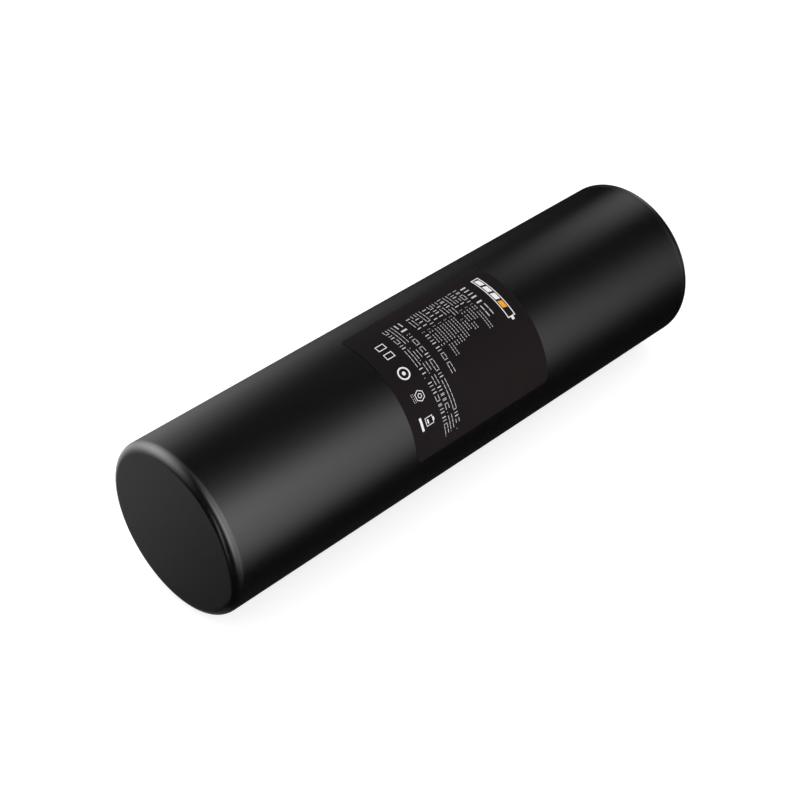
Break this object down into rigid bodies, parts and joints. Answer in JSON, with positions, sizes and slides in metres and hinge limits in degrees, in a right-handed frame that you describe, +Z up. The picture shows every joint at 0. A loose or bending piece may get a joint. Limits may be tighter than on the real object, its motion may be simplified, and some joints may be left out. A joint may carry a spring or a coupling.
{
  "type": "cylindrical battery pack",
  "caption": "Rechargeable lithium-ion battery pack: a plain black cylinder with rounded end edges, a rating label wrapped part way round its side and a DC socket in one end.",
  "frame": {"origin": "centre of the closed end's flat outer face, on the cylinder's axis", "axes": "+X along the cylinder's axis from the closed end to the socket end, +Z up with the pack lying on its side, -Y towards the side that the label is wrapped on"},
  "size_m": [0.151, 0.0421, 0.0421],
  "materials": {
    "anodised_can": "black anodised over a fine blasted grain, satin",
    "cap_plastic": "black moulded plastic, satin",
    "seal_rubber": "matt black rubber",
    "label_film": "matt printed polyester film",
    "foam": "closed-cell foam",
    "insulating_paper": "grey-green insulating paper",
    "holder_plastic": "dark moulded plastic",
    "nickel_strip": "bright rolled nickel",
    "gasket_plastic": "natural polypropylene",
    "circuit_board": "green solder mask",
    "chip_resin": "black moulding resin",
    "ceramic_chip": "tan ceramic",
    "wire_white": "white PVC insulation",
    "wire_red": "red silicone insulation",
    "wire_black": "black silicone insulation",
    "bead_epoxy": "black epoxy",
    "socket_plastic": "black moulded PBT",
    "plated_steel": "nickel plate",
    "plated_brass": "nickel-plated brass, satin",
    "cell_steel": "nickel-plated deep-drawn steel",
    "cell_wrap": "petrol-blue shrink sleeve",
    "electrode_foil": "wound coated foil",
    "disc_aluminium": "bright pressed aluminium",
    "label_ink_white": "white printing ink",
    "label_ink_orange": "orange printing ink"
  },
  "bodies": {
    "pack": {"base_pad": "foam", "board_capacitors": "ceramic_chip", "board_guard_chip": "chip_resin", "board_sense_resistors": "chip_resin", "board_switches": "chip_resin", "board_tape": "foam", "case_can": "anodised_can", "cell_1_can": "cell_steel", "cell_1_gasket": "gasket_plastic", "cell_1_jelly_roll": "electrode_foil", "cell_1_sleeve": "cell_wrap", "cell_1_top_cap": "cell_steel", "cell_1_vent_disc": "disc_aluminium", "cell_2_can": "cell_steel", "cell_2_gasket": "gasket_plastic", "cell_2_jelly_roll": "electrode_foil", "cell_2_sleeve": "cell_wrap", "cell_2_top_cap": "cell_steel", "cell_2_vent_disc": "disc_aluminium", "cell_3_can": "cell_steel", "cell_3_gasket": "gasket_plastic", "cell_3_jelly_roll": "electrode_foil", "cell_3_sleeve": "cell_wrap", "cell_3_top_cap": "cell_steel", "cell_3_vent_disc": "disc_aluminium", "cell_4_can": "cell_steel", "cell_4_gasket": "gasket_plastic", "cell_4_jelly_roll": "electrode_foil", "cell_4_sleeve": "cell_wrap", "cell_4_top_cap": "cell_steel", "cell_4_vent_disc": "disc_aluminium", "cell_electrode_tabs": "nickel_strip", "cell_insulating_discs": "gasket_plastic", "cell_insulator_rings": "insulating_paper", "end_cap": "cap_plastic", "end_cap_seal": "seal_rubber", "insulation_sleeve": "insulating_paper", "jack_body": "socket_plastic", "jack_lug": "plated_brass", "jack_nut": "plated_steel", "jack_pin": "plated_brass", "jack_washer": "plated_steel", "link_cell_1_to_2": "nickel_strip", "link_cell_2_to_3": "nickel_strip", "link_cell_3_to_4": "nickel_strip", "lower_cell_holder": "holder_plastic", "middle_cell_holder": "holder_plastic", "negative_output_tab": "nickel_strip", "output_wire_negative": "wire_black", "output_wire_positive": "wire_red", "positive_output_tab": "nickel_strip", "protection_board": "circuit_board", "rating_label": "label_film", "sense_wires": "wire_white", "terminal_insulator": "insulating_paper", "thermistor_bead": "bead_epoxy", "thermistor_leads": "wire_white", "upper_cell_holder": "holder_plastic"},
    "jack_leaf": {"jack_leaf": "plated_brass"}
  },
  "joints": [
    {"name": "jack_leaf_flex", "type": "hinge", "parent": "pack", "child": "jack_leaf", "pos_m": [0.1419, -0.00335, 0], "axis": [0, 0, -1], "range_deg": [0, 5.2], "stiffness_Nm_per_rad": 0.02}
  ]
}
